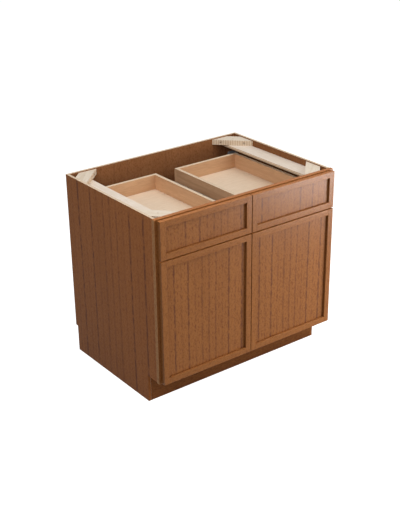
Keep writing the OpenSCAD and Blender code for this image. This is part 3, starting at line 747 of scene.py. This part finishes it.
class CABINET_OT_bracing(Operator):
    """Strips and corner blocks at the top of the case in bare plywood"""

    bl_idname = "cabinet.bracing"
    bl_label = "Top bracing"

    def execute(self, context):
        finish = context.scene.cabinet_finish
        colours = (finish.raw_wood, finish.raw_dark)
        along = pale_wood("bracing_wood_along", DEPTH, finish.strip_wood, finish.raw_dark, 0.3)
        slanted = {}
        for name, way in (("falling", Vector((1, 1, 0))), ("rising", Vector((1, -1, 0)))):
            slanted[name] = [pale_wood(f"bracing_wood_{name}", way, *colours),
                             ply_edge(f"bracing_layers_{name}", way, 0.0, finish.strip_ply)]
        for side in SIDES:
            board(f"strip_{side}", along, Z, ply=finish.strip_ply)
            for end in ("front", "rear"):
                way = "falling" if (side == "left") == (end == "rear") else "rising"
                dress(f"corner_block_{end}_{side}", finish.board_ease,
                      slanted[way], edges_across(Z))
        return {"FINISHED"}


class CABINET_OT_shelf(Operator):
    """Adjustable shelf and its steel pins"""

    bl_idname = "cabinet.shelf"
    bl_label = "Shelf"

    def execute(self, context):
        finish = context.scene.cabinet_finish
        dress("shelf", finish.board_ease, [case_level()])
        dress("shelf_pins", finish.sheet_ease,
              [plated_steel("zinc_steel", finish.zinc)], shortest=0)
        return {"FINISHED"}


class CABINET_OT_drawer_boxes(Operator):
    """Walls and bottoms of both drawer boxes in lacquered pale wood"""

    bl_idname = "cabinet.drawer_boxes"
    bl_label = "Drawer boxes"

    def execute(self, context):
        finish = context.scene.cabinet_finish
        walls = (finish.wall_wood, finish.wall_dark)
        along = pale_wood("drawer_wood_along", DEPTH, *walls)
        level = pale_wood("drawer_wood_level", ACROSS, *walls)
        base = pale_wood("drawer_bottom_face", ACROSS, finish.base_wood, finish.base_dark, 0.25)
        for side in SIDES:
            drawer = f"drawer_{side}_"
            for wall, wood, direction, axis in (
                ("box_sides", along, ACROSS, X),
                ("box_front", level, DEPTH, Y),
                ("box_back", level, DEPTH, Y),
            ):
                node = drawer + wall
                rim = ply_edge(f"{node}_plies", direction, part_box(node)[0][axis])
                dress(node, finish.board_ease, [wood, rim], top_edges)
            board(drawer + "bottom", base, Z)
        return {"FINISHED"}


def front_opening(stem):
    """The lowest and highest corner of the opening between the members of a front."""
    corners = []
    for members, axis in ((stem + "stiles", X), (stem + "rails", Z)):
        places = [vertex.co[axis] for vertex in frame["nodes"][members].data.vertices]
        middle = (min(places) + max(places)) / 2
        corners.append((max(p for p in places if p < middle), min(p for p in places if p > middle)))
    (left, right), (bottom, top) = corners
    return (left, 0, bottom), (right, 0, top)


class CABINET_OT_fronts(Operator):
    """Stiles, rails and centre panels of the drawer fronts and doors"""

    bl_idname = "cabinet.fronts"
    bl_label = "Fronts"

    def execute(self, context):
        finish = context.scene.cabinet_finish
        upright = stained_wood("front_wood_upright", UP, streaks=UPRIGHT_STREAKS)
        # Narrow faces of the fronts: painted shade
        narrow = stained_wood("front_wood_edge", UP, shade=finish.painted_side_shade,
                              streaks=UPRIGHT_STREAKS)
        level = stained_wood("front_wood_level", ACROSS, streaks=LEVEL_STREAKS)
        top = lit_top_wood()
        for side, on_drawer, on_door in zip(SIDES, DRAWER_VENEERS, DOOR_VENEERS):
            for stem, along in ((f"drawer_{side}_front_", on_drawer), (f"door_{side}_", on_door)):
                veneer = stained_wood(stem + "veneer", UP, shift=(along, 0, 0),
                                      opening=front_opening(stem))
                for members, wood in (("stiles", upright), ("rails", level)):
                    dress(stem + members, finish.board_ease,
                          [wood, narrow, top], framed_faces(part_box(stem + members)[1][Z]))
                dress(stem + "panel", finish.sheet_ease, [veneer])
        return {"FINISHED"}


class CABINET_OT_slides(Operator):
    """Rails, middle members and runners of the slides, their clips and brackets"""

    bl_idname = "cabinet.slides"
    bl_label = "Drawer slides"

    def execute(self, context):
        finish = context.scene.cabinet_finish
        steel = plated_steel("zinc_steel", finish.zinc)
        plastic = moulded_plastic("grey_plastic", finish.plastic)
        members = ["slide_rails"]
        for side in SIDES:
            members += [f"slide_middles_{side}", f"drawer_{side}_runners"]
            dress(f"drawer_{side}_clips", finish.board_ease, [plastic])
        for member in members:
            dress(member, finish.sheet_ease, [steel])
        dress("slide_brackets", finish.board_ease / 2, [plastic])
        return {"FINISHED"}


class CABINET_OT_hinges(Operator):
    """Cups, arms and bases of the concealed hinges"""

    bl_idname = "cabinet.hinges"
    bl_label = "Hinges"

    def execute(self, context):
        finish = context.scene.cabinet_finish
        steel = plated_steel("zinc_steel", finish.zinc)
        fine = finish.sheet_ease / 2
        dress("hinge_bases", fine, [steel], shortest=0.001)
        for side in SIDES:
            dress(f"door_{side}_hinge_cups", fine, [steel], shortest=0.001)
            dress(f"hinge_arms_{side}", fine, [steel], shortest=0.001)
        return {"FINISHED"}


class CABINET_OT_bumpers(Operator):
    """Soft clear pads behind the fronts"""

    bl_idname = "cabinet.bumpers"
    bl_label = "Bumpers"

    def execute(self, context):
        finish = context.scene.cabinet_finish
        rubber = clear_rubber("clear_rubber", finish.bumper)
        for side in SIDES:
            for front in ("drawer", "door"):
                dress(f"{front}_{side}_bumpers", finish.board_ease, [rubber],
                      shortest=0)
        return {"FINISHED"}


def screw_solids(node):
    """Where each screw of a node sits: the middle of its head's outer face, its direction,
    its length and the radii of its head and shank."""
    row = solid_copy(node, node + "_measured")
    with editing(row):
        bpy.ops.mesh.select_all(action="SELECT")
        bpy.ops.mesh.separate(type="LOOSE")
    found = []
    for single in list(bpy.context.selected_objects):
        corners = [vertex.co.copy() for vertex in single.data.vertices]
        low = Vector(min(c[i] for c in corners) for i in range(3))
        high = Vector(max(c[i] for c in corners) for i in range(3))
        axis = max(range(3), key=lambda i: high[i] - low[i])
        middle = (low + high) / 2
        reach = [math.hypot(*(c - middle)[:axis], *(c - middle)[axis + 1:]) for c in corners]
        widest = max(reach)
        head = [c[axis] for c, r in zip(corners, reach) if r > HEAD_SHARE * widest]
        head_low, head_high = min(head), max(head)
        at_low = head_low - low[axis] < high[axis] - head_high
        place = middle.copy()
        place[axis] = low[axis] if at_low else high[axis]
        direction = Vector((0, 0, 0))
        direction[axis] = 1 if at_low else -1
        shank = [c[axis] for c, r in zip(corners, reach) if r < HEAD_SHARE * widest]
        found.append({
            "place": place, "direction": direction, "length": high[axis] - low[axis],
            "head_r": widest, "head_t": head_high - head_low,
            "shank_r": min(r for r in reach if r > widest / 10) if shank else widest,
        })
        bpy.data.objects.remove(single)
    return found


def model_screw(size):
    """A pan-head wood screw along Z with its seat at the origin, a cross recess and a point."""
    head_r, head_t, shank_r = size["head_r"], size["head_t"], size["shank_r"]
    bpy.ops.object.select_all(action="DESELECT")
    bpy.ops.mesh.primitive_cylinder_add(vertices=24, radius=head_r, depth=head_t,
                                        location=(0, 0, head_t / 2))
    screw = bpy.context.object
    bpy.ops.object.transform_apply(location=True, rotation=True, scale=True)
    with editing(screw) as mesh:
        choose(mesh, "edges", lambda e: all(v.co.z > head_t * 0.99 for v in e.verts))
        bpy.ops.mesh.bevel(offset=head_t * HEAD_ROUNDING, segments=3, affect="EDGES")
    with editing(screw) as mesh:
        choose(mesh, "faces", lambda f: f.normal.z < -0.9)
        bpy.ops.mesh.inset(thickness=head_r - shank_r)
        reach = size["length"] - head_t
        point = 2 * shank_r
        bpy.ops.mesh.extrude_region_move(TRANSFORM_OT_translate={"value": (0, 0, point - reach)})
        bpy.ops.mesh.extrude_region_move(TRANSFORM_OT_translate={"value": (0, 0, -point)})
        bpy.ops.transform.resize(value=(TIP_WIDTH, TIP_WIDTH, 1.0))
    cut_cross(screw, head_r, head_t)
    return screw


def cut_cross(screw, head_r, head_t):
    """Cuts a cross recess into the head of a screw."""
    arm = head_r * CROSS_HALF_WIDTH
    bpy.ops.object.select_all(action="DESELECT")
    bpy.ops.mesh.primitive_cube_add(size=2 * arm, location=(0, 0, head_t))
    cutter = bpy.context.object
    bpy.ops.object.transform_apply(location=True, rotation=True, scale=True)
    for way in (ACROSS, -ACROSS, DEPTH, -DEPTH):
        with editing(cutter) as mesh:
            far = max(f.calc_center_median().dot(way) for f in mesh.faces)
            choose(mesh, "faces", lambda f: f.normal.dot(way) > 0.9
                   and f.calc_center_median().dot(way) > far - MERGE)
            bpy.ops.mesh.extrude_region_move(
                TRANSFORM_OT_translate={"value": way * (head_r * CROSS_REACH)})
    select_only(screw)
    cut = screw.modifiers.new("Cross recess", "BOOLEAN")
    cut.object = cutter
    bpy.ops.object.modifier_apply(modifier=cut.name)
    bpy.data.objects.remove(cutter)


class CABINET_OT_screws(Operator):
    """Wood screws of the case and of the drawer fronts"""

    bl_idname = "cabinet.screws"
    bl_label = "Screws"

    def execute(self, context):
        finish = context.scene.cabinet_finish
        dark = plated_steel("screw_steel", finish.dark_zinc)
        bright = plated_steel("zinc_steel", finish.zinc)
        self.set_screws("case_screws", "screw_steel", dark)
        for side in SIDES:
            self.set_screws(f"drawer_{side}_screws", "zinc_steel", bright)
        return {"FINISHED"}

    def set_screws(self, node, slot, metal):
        """One modelled screw at each place of a node's screws, joined into one piece."""
        copies = []
        for size in screw_solids(node):
            screw = model_screw(size)
            turn = (-UP).rotation_difference(size["direction"]).to_matrix().to_4x4()
            seat = size["place"] + size["direction"] * size["head_t"]
            screw.data.transform(Matrix.Translation(seat) @ turn)
            copies.append(screw)
        if not copies:
            raise RuntimeError(f"{node} holds no screw")
        bpy.ops.object.select_all(action="DESELECT")
        for screw in copies:
            screw.select_set(True)
        bpy.context.view_layer.objects.active = copies[0]
        bpy.ops.object.join()
        row = bpy.context.object
        row.name = node + "_finished"
        smooth(row)
        stand_for(row, node, [metal])


# Floor, lamps and camera

# Middle of the cabinet, which the lamps face
MIDDLE = (CAD_BOX[0] + CAD_BOX[1]) / 2

# The camera stands left of the cabinet and above it, and looks down at it
CAMERA_PLACE = Vector((-2.5673, -3.4028, 2.4033))
CAMERA_RIGHT = Vector((0.79630, -0.60479, -0.01155))
CAMERA_BACK = Vector((-0.54448, -0.72496, 0.42187))


def white_for_eyes(tree):
    """One for what the camera sees directly, in a reflection or through glass."""
    path = add_node(tree, "LightPath").outputs
    seen = reckon(tree, "MAXIMUM", path["Is Camera Ray"], path["Is Glossy Ray"])
    return reckon(tree, "MAXIMUM", seen, path["Is Transmission Ray"])


def soft_lamp(name, watts, width, place):
    """A square soft lamp that faces the middle of the cabinet."""
    facing = (place - MIDDLE).to_track_quat("Z", "Y").to_euler()
    bpy.ops.object.light_add(type="AREA", location=place, rotation=facing)
    lamp = bpy.context.object
    lamp.name = name
    lamp.visible_camera = False
    lamp.data.energy = watts
    lamp.data.size = width
    return lamp


class CABINET_OT_stage(Operator):
    """Pale floor, soft lamps, white surroundings and the camera"""

    bl_idname = "cabinet.stage"
    bl_label = "Stage"

    def execute(self, context):
        studio = context.scene.cabinet_studio
        self.lay_floor(studio)
        self.light_room(context.scene, studio)
        self.place_camera(context.scene, studio)
        context.scene.view_settings.view_transform = "Standard"
        return {"FINISHED"}

    def lay_floor(self, studio):
        bpy.ops.object.select_all(action="DESELECT")
        bpy.ops.mesh.primitive_plane_add(size=studio.floor_width, location=(0, 0, -0.001))
        floor = bpy.context.object
        floor.name = "floor"
        bpy.ops.object.transform_apply(location=True, rotation=True, scale=True)
        material, tree, shader = new_material("pale_floor", roughness=0.9, specular=0.0)
        place = grain_place(tree, UP)
        clouds = ramp(tree, noise(tree, place, (1.5, 1.5, 1.5), 2.0), 0.3, 0.7)
        pale = mix(tree, clouds, studio.floor_colour, darker(studio.floor_colour, 0.02))
        tree.links.new(pale, shader.inputs["Base Color"])
        glow = reckon(tree, "MULTIPLY", white_for_eyes(tree), studio.floor_glow)
        tree.links.new(glow, shader.inputs["Emission Strength"])
        shader.inputs["Emission Color"].default_value = (1, 1, 1, 1)
        floor.data.materials.append(material)

    def light_room(self, scene, studio):
        scene.world = bpy.data.worlds.new("white_room")
        scene.world.use_nodes = True
        tree = scene.world.node_tree
        room = tree.nodes["Background"]
        room.inputs["Color"].default_value = (1, 1, 1, 1)
        strength = ramp(tree, white_for_eyes(tree), 0.0, 1.0, studio.sky, 1.0)
        tree.links.new(strength, room.inputs["Strength"])
        soft_lamp("key_lamp", studio.key_power, 1.6, Vector((1.4, -1.9, 2.2)))
        soft_lamp("low_lamp", studio.low_power, 1.2, Vector((2.1, -1.7, 0.75)))
        sheen = soft_lamp("sheen_lamp", studio.sheen_power, 0.7, Vector((1.66, -1.85, 0.38)))
        sheen.visible_diffuse = False
        soft_lamp("top_lamp", studio.top_power, 2.6, Vector((0.3, -0.2, 4.2)))
        soft_lamp("left_lamp", studio.left_power, 1.6, Vector((-2.2, -1.0, 2.4)))

    def place_camera(self, scene, studio):
        up = CAMERA_BACK.cross(CAMERA_RIGHT)
        turn = Matrix((CAMERA_RIGHT, up, CAMERA_BACK)).transposed().to_euler()
        bpy.ops.object.camera_add(location=CAMERA_PLACE, rotation=turn)
        camera = bpy.context.object
        camera.data.lens = studio.lens
        scene.camera = camera


PIECES = (
    CABINET_OT_case, CABINET_OT_face_frame, CABINET_OT_bracing, CABINET_OT_shelf,
    CABINET_OT_drawer_boxes, CABINET_OT_fronts, CABINET_OT_slides, CABINET_OT_hinges,
    CABINET_OT_bumpers, CABINET_OT_screws, CABINET_OT_stage,
)


class CABINET_PT_pieces(Panel):
    """Lists the pieces of the cabinet and the sizes and colours of its finishes"""

    bl_idname = "CABINET_PT_pieces"
    bl_label = "Base cabinet"
    bl_space_type = "VIEW_3D"
    bl_region_type = "UI"
    bl_category = "Cabinet"

    def draw(self, context):
        for piece in PIECES:
            self.layout.operator(piece.bl_idname)
        for settings in (context.scene.cabinet_finish, context.scene.cabinet_studio):
            box = self.layout.box()
            for name in settings.bl_rna.properties.keys():
                if name not in ("rna_type", "name"):
                    box.prop(settings, name)


CLASSES = (CabinetFinish, CabinetStudio, *PIECES, CABINET_PT_pieces)


def register():
    for cls in CLASSES:
        bpy.utils.register_class(cls)
    bpy.types.Scene.cabinet_finish = PointerProperty(type=CabinetFinish)
    bpy.types.Scene.cabinet_studio = PointerProperty(type=CabinetStudio)


def unregister():
    del bpy.types.Scene.cabinet_studio
    del bpy.types.Scene.cabinet_finish
    for cls in reversed(CLASSES):
        bpy.utils.unregister_class(cls)


def main():
    """Makes every piece and the stage."""
    register()
    bpy.ops.cabinet.case()
    bpy.ops.cabinet.face_frame()
    bpy.ops.cabinet.bracing()
    bpy.ops.cabinet.shelf()
    bpy.ops.cabinet.drawer_boxes()
    bpy.ops.cabinet.fronts()
    bpy.ops.cabinet.slides()
    bpy.ops.cabinet.hinges()
    bpy.ops.cabinet.bumpers()
    bpy.ops.cabinet.screws()
    bpy.ops.cabinet.stage()


if __name__ == "__main__":
    main()
